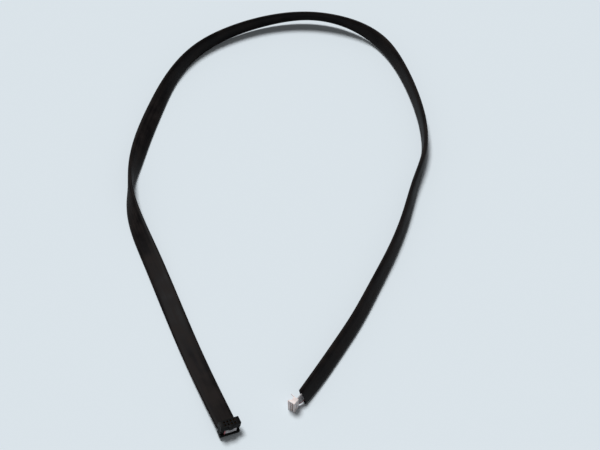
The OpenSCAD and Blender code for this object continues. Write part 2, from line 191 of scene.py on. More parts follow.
def new_tree(name, sockets):
    """A geometry tree with one geometry output and the given (name, type) inputs."""
    tree = bpy.data.node_groups.new(name, "GeometryNodeTree")
    tree.interface.new_socket("Geometry", in_out="OUTPUT", socket_type="NodeSocketGeometry")
    for label, kind in sockets:
        tree.interface.new_socket(label, in_out="INPUT", socket_type=kind)
    return tree


def finish_tree(tree, geometry, material):
    """End a geometry tree with plain geometry of one material."""
    real = add_node(tree, "GeometryNodeRealizeInstances", inputs={"Geometry": geometry})
    dressed = add_node(tree, "GeometryNodeSetMaterial", inputs={"Geometry": real, "Material": material})
    add_node(tree, "NodeGroupOutput", inputs={"Geometry": dressed})


def mesh_of(shape, name):
    """The mesh of a bmesh, which is freed."""
    mesh = bpy.data.meshes.new(name)
    shape.to_mesh(mesh)
    shape.free()
    return mesh


def points_of(mesh):
    """The mesh's points, one in each row."""
    points = np.empty(len(mesh.vertices) * 3)
    mesh.vertices.foreach_get("co", points)
    return points.reshape(-1, 3)


def move_points(mesh, points):
    """Put the mesh's points at these places."""
    mesh.vertices.foreach_set("co", np.ravel(points))
    mesh.update()


def reached(centres):
    """How far each centre lies along the line through them all."""
    return np.concatenate([[0], np.cumsum(np.linalg.norm(np.diff(centres, axis=0), axis=1))])


def new_object(name, mesh):
    """An object of this mesh at the origin, linked to the scene."""
    piece = bpy.data.objects.new(name, mesh)
    bpy.context.scene.collection.objects.link(piece)
    return piece


def grown(mesh, tree, values):
    """The plain mesh that a geometry tree makes of a mesh and its named inputs."""
    source = new_object("source", mesh)
    modifier = source.modifiers.new("Grow", "NODES")
    modifier.node_group = tree
    for item in tree.interface.items_tree:
        if item.in_out == "INPUT" and item.name in values:
            modifier[item.identifier] = values[item.name]
    result = evaluated(source)
    bpy.data.objects.remove(source)
    return result


def evaluated(piece):
    """A plain mesh of the piece with all its modifiers applied."""
    depsgraph = bpy.context.evaluated_depsgraph_get()
    return bpy.data.meshes.new_from_object(
        piece.evaluated_get(depsgraph), preserve_all_data_layers=True, depsgraph=depsgraph)


def unit(v):
    """The vector at length 1."""
    return v / np.linalg.norm(v)


# ---- The cable's route ----

def spot(u):
    """The route's x, y, lift and tilt at u spans from the socket, on a cubic B-spline."""
    first = min(int(u), SPANS - 1)
    t = u - first
    weights = np.array([
        (1 - t) ** 3, 3 * t ** 3 - 6 * t ** 2 + 4, -3 * t ** 3 + 3 * t ** 2 + 3 * t + 1, t ** 3])
    return weights @ GUIDE[first:first + 4] / 6


def route_spread(u, sleeve):
    """The sleeve's half width, its half thickness and how far it stands on edge at u."""
    on_edge = math.sin(math.radians(spot(u)[3])) ** 2
    width = sleeve.flat_width + (sleeve.edge_width - sleeve.flat_width) * on_edge
    thickness = sleeve.flat_thickness + (sleeve.edge_thickness - sleeve.flat_thickness) * on_edge
    return width / 2, thickness / 2, on_edge


def route_centre(u, sleeve):
    """The middle of the cable at u spans from the socket."""
    x, y, lift, tilt = spot(u)
    half_width, half_thickness, _ = route_spread(u, sleeve)
    rise = (half_width - half_thickness) * abs(math.sin(math.radians(tilt))) + half_thickness
    return np.array([x, y, lift + rise])


def route_frame(u, sleeve):
    """The cable's section at u spans from the socket."""
    ahead = route_centre(min(u + HEADING_STEP, SPANS), sleeve)
    behind = route_centre(max(u - HEADING_STEP, 0), sleeve)
    heading = unit(ahead - behind)
    side = unit(np.cross(heading, (0, 0, 1)))
    up = np.cross(side, heading)
    tilt = math.radians(spot(u)[3])
    return Frame(route_centre(u, sleeve), math.cos(tilt) * side + math.sin(tilt) * up,
                 math.cos(tilt) * up - math.sin(tilt) * side, heading, route_spread(u, sleeve))


def route_places(sleeve, step):
    """Places on the whole route, in spans from the socket, about a step apart."""
    coarse = np.array([route_centre(u, sleeve) for u in np.linspace(0, SPANS, 8 * SPANS + 1)])
    return np.linspace(0, SPANS, round(reached(coarse)[-1] / step) + 1)


def sleeve_frames(sleeve):
    """The sleeve's sections. The last one is slanted, as the sleeve's end is cut."""
    frames = [route_frame(u, sleeve) for u in route_places(sleeve, sleeve.ring_step)]
    end = frames[-1]
    frames[-1] = end._replace(face=end.face + sleeve.mouth_slant * end.heading)
    return frames


def turned(f, angle):
    """The section turned about its own heading."""
    level, rise = math.cos(angle), math.sin(angle)
    return f._replace(across=level * f.across + rise * f.face, face=level * f.face - rise * f.across)


def inner_frames(sleeve, ribbon, step):
    """The ribbon's sections inside the sleeve, where it turns upright before the open mouth."""
    frames = []
    for u in route_places(sleeve, step):
        near_mouth = max(0, 1 - (SPANS - u) / ribbon.turn_spans)
        frames.append(turned(route_frame(u, sleeve), ribbon.turn * near_mouth ** 2))
    return [f._replace(spread=PLAIN) for f in frames]


def straight_on(f, reach):
    """The section moved along its own heading."""
    return f._replace(centre=f.centre + reach * f.heading)


def lobe_x(way, ribbon):
    """How far a way lies from the ribbon's middle."""
    return (way - MIDDLE_WAY) * ribbon.pitch


# ---- The connectors' own places ----

def mount(name):
    """Position and axis of one of the record's mounts."""
    found = next(m for m in frame["record"]["mounts"] if m["name"] == name)
    return np.array(found["pos_m"]), unit(np.array(found["axis"]))


# A place is an origin and three axes. The socket's z is its mating direction and its y runs along the
# cable. The white housing's y runs back along its wires and its z runs along its row of ways.
Place = namedtuple("Place", "origin x y z")


def socket_place(socket):
    """The socket's place, with its origin under the strain relief."""
    face, z = mount("socket_face")
    y = unit(np.cross((0, 0, 1), z))
    return Place(face - socket.height * z, np.cross(y, z), y, z)


def housing_place(housing):
    """The housing's place, with its origin at the back of the row's middle."""
    face, axis = mount("housing_plug")
    z = np.array([0.0, 0.0, 1.0])
    return Place(face - housing.length * axis, np.cross(-axis, z), -axis, z)


def at(place, x, y, z):
    """A point of the place's own axes in the model's frame."""
    return place.origin + x * place.x + y * place.y + z * place.z


# ---- Ribbon and wires ----

def fold_frames(place, ribbon, socket, steps):
    """The ribbon's sections from its cut end in the clamp to the channel under the cover."""
    half = ribbon.lobe / 2
    channel = socket.relief + half
    clamp = socket.relief + ribbon.lobe + socket.cover_height + half
    front = -(socket.cover_depth + ribbon.lobe) / 2
    radius = ribbon.fold_radius
    back = socket.depth / 2

    def section(y, z, turn):
        level, rise = math.cos(turn), math.sin(turn)
        return Frame(at(place, 0, y, z), place.x, -level * place.y - rise * place.z,
                     level * place.z - rise * place.y, PLAIN)

    def bend(start, z):
        turns = [start + math.pi / 2 * k / steps for k in range(steps + 1)]
        return [section(front + radius * (1 + math.cos(a)), z + radius * math.sin(a), a) for a in turns]

    return [
        section(back - socket.clamp_in, clamp, math.pi / 2),
        *bend(math.pi / 2, clamp - radius),
        *bend(math.pi, channel + radius),
        section(back - socket.channel_in, channel, 1.5 * math.pi),
    ]


def wire_frames(way, mouth, place, ribbon, steps):
    """One free wire's sections from just inside the ribbon's end to just inside the housing."""
    start = mouth.centre + lobe_x(way, ribbon) * mouth.across
    end = at(place, 0, 0, (way - MIDDLE_WAY) * ribbon.housing_pitch)
    run = ribbon.free_run
    into = -place.y

    def point(t):
        return ((2 * t ** 3 - 3 * t ** 2 + 1) * start + (t ** 3 - 2 * t ** 2 + t) * run * mouth.heading
                + (3 * t ** 2 - 2 * t ** 3) * end + (t ** 3 - t ** 2) * run * into)

    def section(t):
        heading = unit(point(t + HEADING_STEP) - point(t - HEADING_STEP)) if t < 1 else into
        up = unit((1 - t) * mouth.across + t * place.z)
        face = unit(np.cross(up, heading))
        return Frame(point(t), np.cross(heading, face), face, heading, PLAIN)

    ahead = [section(k / steps) for k in range(1, steps + 1)]
    return [straight_on(section(0), -ribbon.wire_lap), *ahead, straight_on(ahead[-1], ribbon.wire_in)]


def arc(x, radius, start, end, steps):
    """Points on an arc round [x, 0], from one angle in degrees to another."""
    turns = np.radians(np.linspace(start, end, steps + 1))
    return [(x + radius * math.cos(a), radius * math.sin(a)) for a in turns]


def ribbon_outline(ribbon, steps):
    """The eight lobes and their webs as (x, z, way) points."""
    radius = ribbon.lobe / 2
    web = math.degrees(math.asin(ribbon.web / ribbon.lobe))
    last = WAYS[-1]
    outline = []
    for way in reversed(WAYS):
        start = 0 if way == last else web
        end = 180 if way == 1 else 180 - web
        outline += [(*p, way) for p in arc(lobe_x(way, ribbon), radius, start, end, steps)]
    for way in WAYS:
        start = 180 if way == 1 else 180 + web
        end = 360 if way == last else 360 - web
        points = arc(lobe_x(way, ribbon), radius, start, end, steps)
        outline += [(*p, way) for p in points[way == 1:len(points) - (way == last)]]
    return outline


def wire_outline(way, radius, steps):
    """A round wire as (x, z, way) points."""
    return [(*p, way) for p in arc(0, radius, 0, 360, steps)[:-1]]


def strand_outline(diameter, way, steps):
    """Six strands round a seventh as (x, z, way) points."""
    strand = diameter / 6
    outline = []
    half_gap = math.pi / STRANDS_ROUND
    count = STRANDS_ROUND * steps
    for k in range(count):
        turn = 2 * math.pi * k / count
        off = (turn + half_gap) % (2 * half_gap) - half_gap
        aside = 2 * strand * math.sin(off)
        reach = 2 * strand * math.cos(off) + math.sqrt(max(strand ** 2 - aside ** 2, 0))
        outline.append((reach * math.cos(turn), reach * math.sin(turn), way))
    return outline


def round_sided(half_width, half_thickness, fullness, points):
    """A flattened tube's section with half sizes 1, its points even in both length and turning."""
    turn = np.linspace(0, 2 * math.pi, CURVE_POINTS)
    x = np.sign(np.cos(turn)) * np.abs(np.cos(turn)) ** (2 / fullness)
    z = np.sin(turn)
    steps = np.column_stack([np.diff(x) * half_width, np.diff(z) * half_thickness])
    length = np.linalg.norm(steps, axis=1)
    bend = np.abs(np.diff(np.unwrap(np.arctan2(steps[:, 1], steps[:, 0])), prepend=math.pi / 2))
    share = np.concatenate([[0], np.cumsum(length / length.sum() + bend / bend.sum())]) / 2
    even = np.arange(points) / points
    return list(zip(np.interp(even, share, x), np.interp(even, share, z), 2 * even))


def section_mesh(outline):
    """A mesh of the outline's points, which keeps each point's third value as its lane."""
    mesh = bpy.data.meshes.new("section")
    mesh.from_pydata([(x, z, 0) for x, z, _ in outline], [], [])
    mesh.attributes.new("lane", "FLOAT", "POINT").data.foreach_set("value", [p[2] for p in outline])
    return mesh


def rail_mesh(frames):
    """A mesh of the frames' centres, which keeps their axes, spread and distance along."""
    mesh = bpy.data.meshes.new("rail")
    centres = np.array([f.centre for f in frames])
    mesh.from_pydata(centres.tolist(), [], [])
    for name in ("across", "face", "spread"):
        values = np.ravel([getattr(f, name) for f in frames])
        mesh.attributes.new(name, "FLOAT_VECTOR", "POINT").data.foreach_set("vector", values)
    mesh.attributes.new("along", "FLOAT", "POINT").data.foreach_set("value", reached(centres))
    return mesh


def skin_grid(tree, rail, flat):
    """A flat grid for the skin, and each point's ring, its place in the section and its share round."""
    rings = add_node(tree, "GeometryNodeAttributeDomainSize", inputs={"Geometry": rail})
    points = add_node(tree, "GeometryNodeAttributeDomainSize", inputs={"Geometry": flat})
    columns = add_node(tree, "FunctionNodeIntegerMath", {"operation": "ADD"}, {0: points, 1: 1})
    grid = add_node(tree, "GeometryNodeMeshGrid", inputs={"Vertices X": rings, "Vertices Y": columns})
    index = add_node(tree, "GeometryNodeInputIndex")
    ring = add_node(tree, "FunctionNodeIntegerMath", {"operation": "DIVIDE"}, {0: index, 1: columns})
    column = add_node(tree, "FunctionNodeIntegerMath", {"operation": "MODULO"}, {0: index, 1: columns})
    spoke = add_node(tree, "FunctionNodeIntegerMath", {"operation": "MODULO"}, {0: column, 1: points})
    around = add_node(tree, "ShaderNodeMath", {"operation": "DIVIDE"}, {0: column, 1: points})
    return grid, ring, spoke, around


def rail_values(tree, rail, ring):
    """What the rail says at each ring: its centre, its axes, its spread and its distance along."""
    wanted = {"centre": ("FLOAT_VECTOR", add_node(tree, "GeometryNodeInputPosition"))}
    for name, kind in (("across", "FLOAT_VECTOR"), ("face", "FLOAT_VECTOR"), ("spread", "FLOAT_VECTOR"),
                       ("along", "FLOAT")):
        wanted[name] = (kind, add_node(tree, "GeometryNodeInputNamedAttribute", {"data_type": kind},
                                       {"Name": name}))
    return {
        name: add_node(tree, "GeometryNodeSampleIndex", {"data_type": kind, "domain": "POINT"},
                       {"Geometry": rail, "Value": value, "Index": ring})
        for name, (kind, value) in wanted.items()}


def section_places(tree, sections, spoke, on_edge):
    """Each point's place in its section, between the flat section and the edge one."""
    place = add_node(tree, "GeometryNodeInputPosition")
    flat, edge = (
        add_node(tree, "GeometryNodeSampleIndex", {"data_type": "FLOAT_VECTOR", "domain": "POINT"},
                 {"Geometry": section, "Value": place, "Index": spoke})
        for section in sections)
    between = add_node(tree, "ShaderNodeMix", {"data_type": "VECTOR"}, {0: on_edge, 4: flat, 5: edge})
    return add_node(tree, "ShaderNodeSeparateXYZ", inputs={0: between.outputs[1]}).outputs


def sunk_thickness(tree, given, x, z, along, half_thickness):
    """The half thickness at each point, which is less or more where the wide faces are uneven."""
    far = add_node(tree, "ShaderNodeMath", {"operation": "DIVIDE"},
                   {0: along, 1: given["Unevenness Length"]})
    side = add_node(tree, "ShaderNodeMath", {"operation": "SIGN"}, {0: z})
    where = add_node(tree, "ShaderNodeCombineXYZ", inputs={0: far, 1: x, 2: side})
    noise = add_node(tree, "ShaderNodeTexNoise", {"noise_dimensions": "4D"},
                     {"Vector": where, "W": given["Seed"], "Scale": 1.0, "Detail": 1.0})
    centred = add_node(tree, "ShaderNodeMath", {"operation": "SUBTRACT"}, {0: noise, 1: 0.5})
    sunk = add_node(tree, "ShaderNodeMath", {"operation": "MULTIPLY"}, {0: centred, 1: given["Unevenness"]})
    return add_node(tree, "ShaderNodeMath", {"operation": "SUBTRACT"}, {0: half_thickness, 1: sunk})


def laid_round(tree, grid, on_rail, x, z, half_width, half_thickness):
    """The grid with its points laid round the rail."""
    width = add_node(tree, "ShaderNodeMath", {"operation": "MULTIPLY"}, {0: x, 1: half_width})
    depth = add_node(tree, "ShaderNodeMath", {"operation": "MULTIPLY"}, {0: z, 1: half_thickness})
    wide = add_node(tree, "ShaderNodeVectorMath", {"operation": "SCALE"},
                    {0: on_rail["across"], "Scale": width})
    thick = add_node(tree, "ShaderNodeVectorMath", {"operation": "SCALE"},
                     {0: on_rail["face"], "Scale": depth})
    off = add_node(tree, "ShaderNodeVectorMath", {"operation": "ADD"}, {0: wide, 1: thick})
    place = add_node(tree, "ShaderNodeVectorMath", {"operation": "ADD"}, {0: on_rail["centre"], 1: off})
    return add_node(tree, "GeometryNodeSetPosition", inputs={"Geometry": grid, "Position": place})


def mapped(tree, skin, along, around, lane):
    """The skin with its distance along, its share round and its lane stored, and its map of the first two.

    The map's corners take their points' values, so that both sides of the closing seam keep theirs.
    """
    for name, value in (("along", along), ("around", around), ("lane", lane)):
        skin = add_node(tree, "GeometryNodeStoreNamedAttribute", {"data_type": "FLOAT", "domain": "POINT"},
                        {"Geometry": skin, "Name": name, "Value": value})
    stored = [add_node(tree, "GeometryNodeInputNamedAttribute", {"data_type": "FLOAT"}, {"Name": name})
              for name in ("along", "around")]
    unrolled = add_node(tree, "ShaderNodeCombineXYZ", inputs={0: stored[0], 1: stored[1]})
    return add_node(tree, "GeometryNodeStoreNamedAttribute", {"data_type": "FLOAT2", "domain": "CORNER"},
                    {"Geometry": skin, "Name": "UVMap", "Value": unrolled})


def sweep_tree():
    """Skin that follows a rail: its section goes from a flat one to an edge one, and sinks unevenly."""
    tree = bpy.data.node_groups.get("Swept Section")
    if tree:
        return tree
    tree = new_tree("Swept Section", [
        ("Rail", "NodeSocketGeometry"), ("Flat Section", "NodeSocketObject"),
        ("Edge Section", "NodeSocketObject"), ("Unevenness", "NodeSocketFloat"),
        ("Unevenness Length", "NodeSocketFloat"), ("Seed", "NodeSocketFloat"),
        ("Material", "NodeSocketMaterial"),
    ])
    given = add_node(tree, "NodeGroupInput").outputs
    flat, edge = (
        add_node(tree, "GeometryNodeObjectInfo", inputs={"Object": given[name]}).outputs["Geometry"]
        for name in ("Flat Section", "Edge Section"))
    grid, ring, spoke, around = skin_grid(tree, given["Rail"], flat)
    on_rail = rail_values(tree, given["Rail"], ring)
    spread = add_node(tree, "ShaderNodeSeparateXYZ", inputs={0: on_rail["spread"]})
    half_width, half_thickness, on_edge = spread.outputs
    x, z, _ = section_places(tree, (flat, edge), spoke, on_edge)
    half_thickness = sunk_thickness(tree, given, x, z, on_rail["along"], half_thickness)
    skin = laid_round(tree, grid, on_rail, x, z, half_width, half_thickness)
    lane = add_node(tree, "GeometryNodeInputNamedAttribute", {"data_type": "FLOAT"}, {"Name": "lane"})
    lane = add_node(tree, "GeometryNodeSampleIndex", {"data_type": "FLOAT", "domain": "POINT"},
                    {"Geometry": flat, "Value": lane, "Index": spoke})
    skin = mapped(tree, skin, on_rail["along"], around, lane)
    closed = add_node(tree, "GeometryNodeMergeByDistance", inputs={"Geometry": skin, "Distance": SEAM_WELD})
    smooth = add_node(tree, "GeometryNodeSetShadeSmooth", inputs={"Geometry": closed})
    finish_tree(tree, smooth, given["Material"])
    return tree


def swept(frames, flat, material, edge=None, unevenness=0.0):
    """The mesh of a section swept along the frames."""
    flat_section = new_object("flat_section", section_mesh(flat))
    edge_section = new_object("edge_section", section_mesh(edge or flat))
    mesh = grown(rail_mesh(frames), sweep_tree(), {
        "Flat Section": flat_section, "Edge Section": edge_section, "Unevenness": unevenness,
        "Unevenness Length": UNEVEN_LENGTH, "Seed": UNEVEN_SEED, "Material": material})
    bpy.data.objects.remove(flat_section)
    bpy.data.objects.remove(edge_section)
    return mesh


def outward(meshes, name, material, close=False):
    """One object of the meshes, with its ends closed if asked and its faces pointing outwards."""
    shape = bmesh.new()
    for mesh in meshes:
        shape.from_mesh(mesh)
    if close:
        bmesh.ops.holes_fill(shape, edges=[e for e in shape.edges if e.is_boundary], sides=0)
    bmesh.ops.recalc_face_normals(shape, faces=shape.faces)
    mesh = mesh_of(shape, name)
    mesh.materials.append(material)
    return new_object(name, mesh)


def keep(piece, slot, *nodes):
    """Let a finished piece stand for its CAD nodes and ride on the model's one body."""
    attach(piece, "root")
    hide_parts(*nodes)


# ---- Moulded and metal pieces ----

def moulded(node, name, radius, material):
    """A copy of a CAD node with its outer edges rounded as a mould leaves them."""
    shape = bmesh.new()
    shape.from_mesh(frame["nodes"][node].data)
    bmesh.ops.remove_doubles(shape, verts=shape.verts, dist=MOULD_WELD)
    bmesh.ops.dissolve_limit(shape, angle_limit=FLAT_ANGLE, verts=shape.verts, edges=shape.edges)
    sharp = [e for e in shape.edges if e.is_manifold and e.calc_face_angle() > ROUNDED_ANGLE
             and e.calc_length() > 4 * radius]
    bmesh.ops.bevel(shape, geom=sharp, offset=radius, segments=2, profile=0.5, affect="EDGES",
                    clamp_overlap=True)
    mesh = mesh_of(shape, name)
    mesh.materials.append(material)
    mesh.shade_smooth()
    mesh.set_sharp_from_angle(angle=MOULD_CREASE)
    return new_object(name, mesh)


def prism(shape, outline, side):
    """Add a closed prism to the shape: the outline's points and the same points moved by side."""
    near = [shape.verts.new(p) for p in outline]
    far = [shape.verts.new(Vector(p) + Vector(side)) for p in outline]
    shape.faces.new(near)
    shape.faces.new(reversed(far))
    for k in range(len(near)):
        m = (k + 1) % len(near)
        shape.faces.new((near[m], near[k], far[k], far[m]))


def strip_outline(path, thickness):
    """Both sides of a bent strip that follows the path, as 2-D points."""
    path = np.array(path, dtype=float)
    heading = np.gradient(path, axis=0)
    heading /= np.linalg.norm(heading, axis=1)[:, None]
    side = np.column_stack([-heading[:, 1], heading[:, 0]]) * thickness / 2
    return [*(path + side), *(path - side)[::-1]]


# ---- Settings ----

def distance(name, description, default):
    """A length in metres that a user may change."""
    return FloatProperty(name=name, description=description, default=default, min=0.0, precision=5,
                         subtype="DISTANCE", unit="LENGTH")


def colour(name, description, code):
    """A colour that a user may change, with its default as an sRGB hex value."""
    return FloatVectorProperty(name=name, description=description, default=linear(code), size=4,
                               min=0.0, max=1.0, subtype="COLOR")


class RibbonCableSleeve(bpy.types.PropertyGroup):
    """Sizes and colour of the black sleeve."""
    flat_width: distance("Flat width", "Width where the cable lies flat", 0.0156)
    flat_thickness: distance("Flat thickness", "Thickness where the cable lies flat", 0.0027)
    edge_width: distance("Edge width", "Width where the cable stands on its edge", 0.0149)
    edge_thickness: distance("Edge thickness", "Thickness where it stands and bellies open", 0.0045)
    wall: distance("Wall", "Thickness of the sleeve's wall", 0.00045)
    length: distance("Length", "Length of the cable from the socket to the sleeve's far end", 1.04)
    mouth_slant: FloatProperty(name="Mouth slant", default=0.3,
                               description="Slant of the cut end, per length across its thickness")
    ring_step: distance("Ring step", "Distance between the rings of the mesh", 0.002)
    points: IntProperty(name="Points", description="Points round each ring", default=56, min=16)
    unevenness: distance("Unevenness", "How far the wide faces sink in places", 0.00022)
    black: colour("Black", "Colour of the tube", "#0e0c0d")
    # Lighter, warmer colour mixed into the tube in patches and along its die lines: partly a duller,
    # handled skin, partly painted sheen.
    worn_and_sheen: colour("Worn", "Colour where handling has dulled it", "#1e1a19")


class RibbonCableRibbon(bpy.types.PropertyGroup):
    """Sizes and colours of the ribbon and its free wires."""
    pitch: distance("Pitch", "Distance from one core to the next", 0.00127)
    lobe: distance("Lobe", "Thickness over a core", 0.0009)
    web: distance("Web", "Thickness of the web between two cores", 0.0005)
    core: distance("Core", "Diameter of a stranded core", 0.00038)
    fold_radius: distance("Fold radius", "Middle radius of the two bends round the cover", 0.00085)
    housing_pitch: distance("Housing pitch", "Distance between the ways of the housing", 0.00125)
    free_run: distance("Free run", "Length of the wires between sleeve and housing", 0.0054)
    wire_in: distance("Wire in", "Length of insulated wire inside the housing", 0.00085)
    wire_lap: distance("Wire lap", "How far a wire starts inside the ribbon's end", 0.0003)
    bare: distance("Bare end", "Length of bare core in each terminal", 0.001)
    proud: distance("Proud", "How far the cut strands stand out of the ribbon's end", 0.00003)
    turn: FloatProperty(name="Turn", description="How far it has turned upright at the sleeve's mouth",
                        default=math.radians(12), subtype="ANGLE", unit="ROTATION")
    turn_spans: FloatProperty(name="Turn spans", default=2.0,
                              description="Spans of the route before the mouth over which it turns")
    route_step: distance("Route step", "Distance between the ribbon's rings inside the sleeve", 0.005)
    grey: colour("Grey", "Colour of the insulation", "#b2afb1")
    red: colour("Red", "Colour of the first way", "#a9636c")


class RibbonCableSocket(bpy.types.PropertyGroup):
    """Sizes and colours of the 2 x 4 socket and its contacts."""
    height: distance("Height", "From the strain relief's underside to the mating face", 0.0114)
    depth: distance("Depth", "Depth of the body along the ribbon", 0.0061)
    relief: distance("Relief", "Thickness of the strain relief's bar", 0.0023)
    cover_height: distance("Cover height", "Height of the cover", 0.0028)
    cover_depth: distance("Cover depth", "Depth of the cover along the ribbon", 0.0048)
    clamp_in: distance("Clamp in", "How far the ribbon's cut end lies inside the back", 0.00035)
    channel_in: distance("Channel in", "Where the ribbon leaves the channel, inside the back", 0.001)
    edge: distance("Edge", "Radius of the moulded edges", 0.00007)
    pin_hole: distance("Pin hole", "Side of each contact hole", 0.0009)
    sheet: distance("Sheet", "Thickness of the contacts' sheet", 0.0003)
    slot: distance("Slot", "Gap of the fork that grips a core", 0.00028)
    tine: distance("Tine", "Width of each tine of the fork", 0.00026)
    fork_in: distance("Fork in", "How far the fork goes into the cover", 0.0008)
    leaf: distance("Leaf", "Thickness of a contact's spring leaves", 0.00018)
    leaf_width: distance("Leaf width", "Width of a contact's spring leaves", 0.0008)
    leaf_top: distance("Leaf top", "Height of the leaves over the body's lower face", 0.00345)
    plate: distance("Plate", "Height of the plate between fork and leaves", 0.00092)
    black: colour("Black", "Colour of the mouldings", "#0b0b0c")
    gold: colour("Gold", "Colour of the contacts", "#a98a50")


class RibbonCableHousing(bpy.types.PropertyGroup):
    """Sizes and colours of the white crimp housing and its terminals."""
    length: distance("Length", "From the mating face to the back", 0.0054)
    edge: distance("Edge", "Radius of the moulded edges", 0.00009)
    side: distance("Terminal side", "Side of each terminal", 0.00096)
    front_in: distance("Front in", "How far the terminals stand behind the mating face", 0.0005)
    box_length: distance("Box length", "Length of a terminal's folded box", 0.0029)
    sheet: distance("Sheet", "Thickness of the terminals' sheet", 0.00014)
    barrel: distance("Barrel", "Outer diameter of the crimp round the bare core", 0.00066)
    white: colour("White", "Colour of the housing", "#ddd1cf")
    tin: colour("Tin", "Colour of the terminals and the strands", "#c4c1ba")


class RibbonCableStage(bpy.types.PropertyGroup):
    """The floor, the light and the camera."""
    floor: colour("Floor", "Colour of the floor", "#dbe4ea")
    sky: FloatProperty(name="Sky", description="Strength of the light from all round", default=0.17)
    backdrop: colour("Backdrop", "Colour seen beyond the floor", "#dbe4ea")
    lamp_strength: FloatProperty(name="Lamp strength", default=2.83,
                                 description="Watts per square metre of the broad lamp overhead")
    lamp_breadth: FloatProperty(name="Lamp breadth", description="Angle that the lamp fills in the sky",
                                default=math.radians(22), subtype="ANGLE", unit="ROTATION")
    lamp_side: FloatVectorProperty(name="Lamp side", description="Direction of the lamp from the floor",
                                   default=(-0.2, 0.36, 1.0), subtype="DIRECTION")
    floor_size: distance("Floor size", "Side of the floor", 24.0)
    camera_distance: distance("Camera distance", "From the camera to the point it looks at", 0.927)
    camera_pitch: FloatProperty(name="Camera pitch", description="Angle of the view below the level",
                                default=math.radians(50), subtype="ANGLE", unit="ROTATION")
    camera_aim: FloatVectorProperty(name="Camera aim", description="Point the camera looks at",
                                    default=(0.0176, -0.0295, 0), subtype="TRANSLATION", unit="LENGTH")
    lens: FloatProperty(name="Lens", description="Focal length in millimetres", default=67.2)


SETTINGS = {
    "ribbon_cable_sleeve": RibbonCableSleeve,
    "ribbon_cable_ribbon": RibbonCableRibbon,
    "ribbon_cable_socket": RibbonCableSocket,
    "ribbon_cable_housing": RibbonCableHousing,
    "ribbon_cable_stage": RibbonCableStage,
}


# ---- Materials ----

def soft_pvc_tube(black, worn_and_sheen):
    """Extruded soft PVC: satin black with faint lengthwise die lines, a fine skin, and lighter patches that
    are partly a duller skin and partly painted sheen.
    """
    material = new_material("soft_pvc_tube")
    tree = material.node_tree
    place = add_node(tree, "ShaderNodeTexCoord").outputs["Object"]
    uv = add_node(tree, "ShaderNodeUVMap", {"uv_map": "UVMap"})
    along, around, _ = add_node(tree, "ShaderNodeSeparateXYZ", inputs={0: uv}).outputs
    # Die lines about 1.5 mm apart round the tube and 80 mm long, wrapped so that they meet.
    turn = add_node(tree, "ShaderNodeMath", {"operation": "MULTIPLY"}, {0: around, 1: 2 * math.pi})
    level = add_node(tree, "ShaderNodeMath", {"operation": "COSINE"}, {0: turn})
    rise = add_node(tree, "ShaderNodeMath", {"operation": "SINE"}, {0: turn})
    on_circle = add_node(tree, "ShaderNodeCombineXYZ", inputs={0: along, 1: level, 2: rise})
    wrapped = add_node(tree, "ShaderNodeVectorMath", {"operation": "MULTIPLY"},
                       {0: on_circle, 1: (1 / (80 * MM), DIE_LINES, DIE_LINES)})
    lines = add_node(tree, "ShaderNodeTexNoise", inputs={"Vector": wrapped, "Scale": 1.0, "Detail": 2.0})
    # Patches about 12 mm across where the skin is duller and lighter, the lighter tone partly painted
    # sheen, and a grain drawn as coarse as 0.5 mm.
    patches = add_node(tree, "ShaderNodeTexNoise",
                       inputs={"Vector": place, "Scale": 1 / (12 * MM), "Detail": 3.0})
    grain = add_node(tree, "ShaderNodeTexNoise",
                     inputs={"Vector": place, "Scale": 1 / (0.5 * MM), "Detail": 2.0})
    streaked = add_node(tree, "ShaderNodeMath", {"operation": "ADD"}, {0: patches, 1: lines})
    # Patches and die lines make the skin rougher and mix in the lighter colour, which is partly a duller
    # skin and partly painted sheen.
    dull = add_node(tree, "ShaderNodeMapRange", inputs={0: streaked, 1: 0.84, 2: 1.2, 3: 0.0, 4: 1.0})
    tint = add_node(tree, "ShaderNodeMix", {"data_type": "RGBA"}, {0: dull, 6: black, 7: worn_and_sheen}).outputs[2]
    rough = add_node(tree, "ShaderNodeMapRange", inputs={0: dull, 1: 0.0, 2: 1.0, 3: 0.48, 4: 0.62})
    lined = add_node(tree, "ShaderNodeBump",
                     inputs={"Height": lines, "Strength": 0.5, "Distance": 0.08 * MM})
    skin = add_node(tree, "ShaderNodeBump",
                    inputs={"Height": grain, "Strength": 0.4, "Distance": 0.02 * MM, "Normal": lined})
    shader = add_node(tree, "ShaderNodeBsdfPrincipled", inputs={
        "Base Color": tint, "Roughness": rough, "Normal": skin, "Specular IOR Level": 0.06})
    add_node(tree, "ShaderNodeOutputMaterial", inputs={"Surface": shader})
    return material


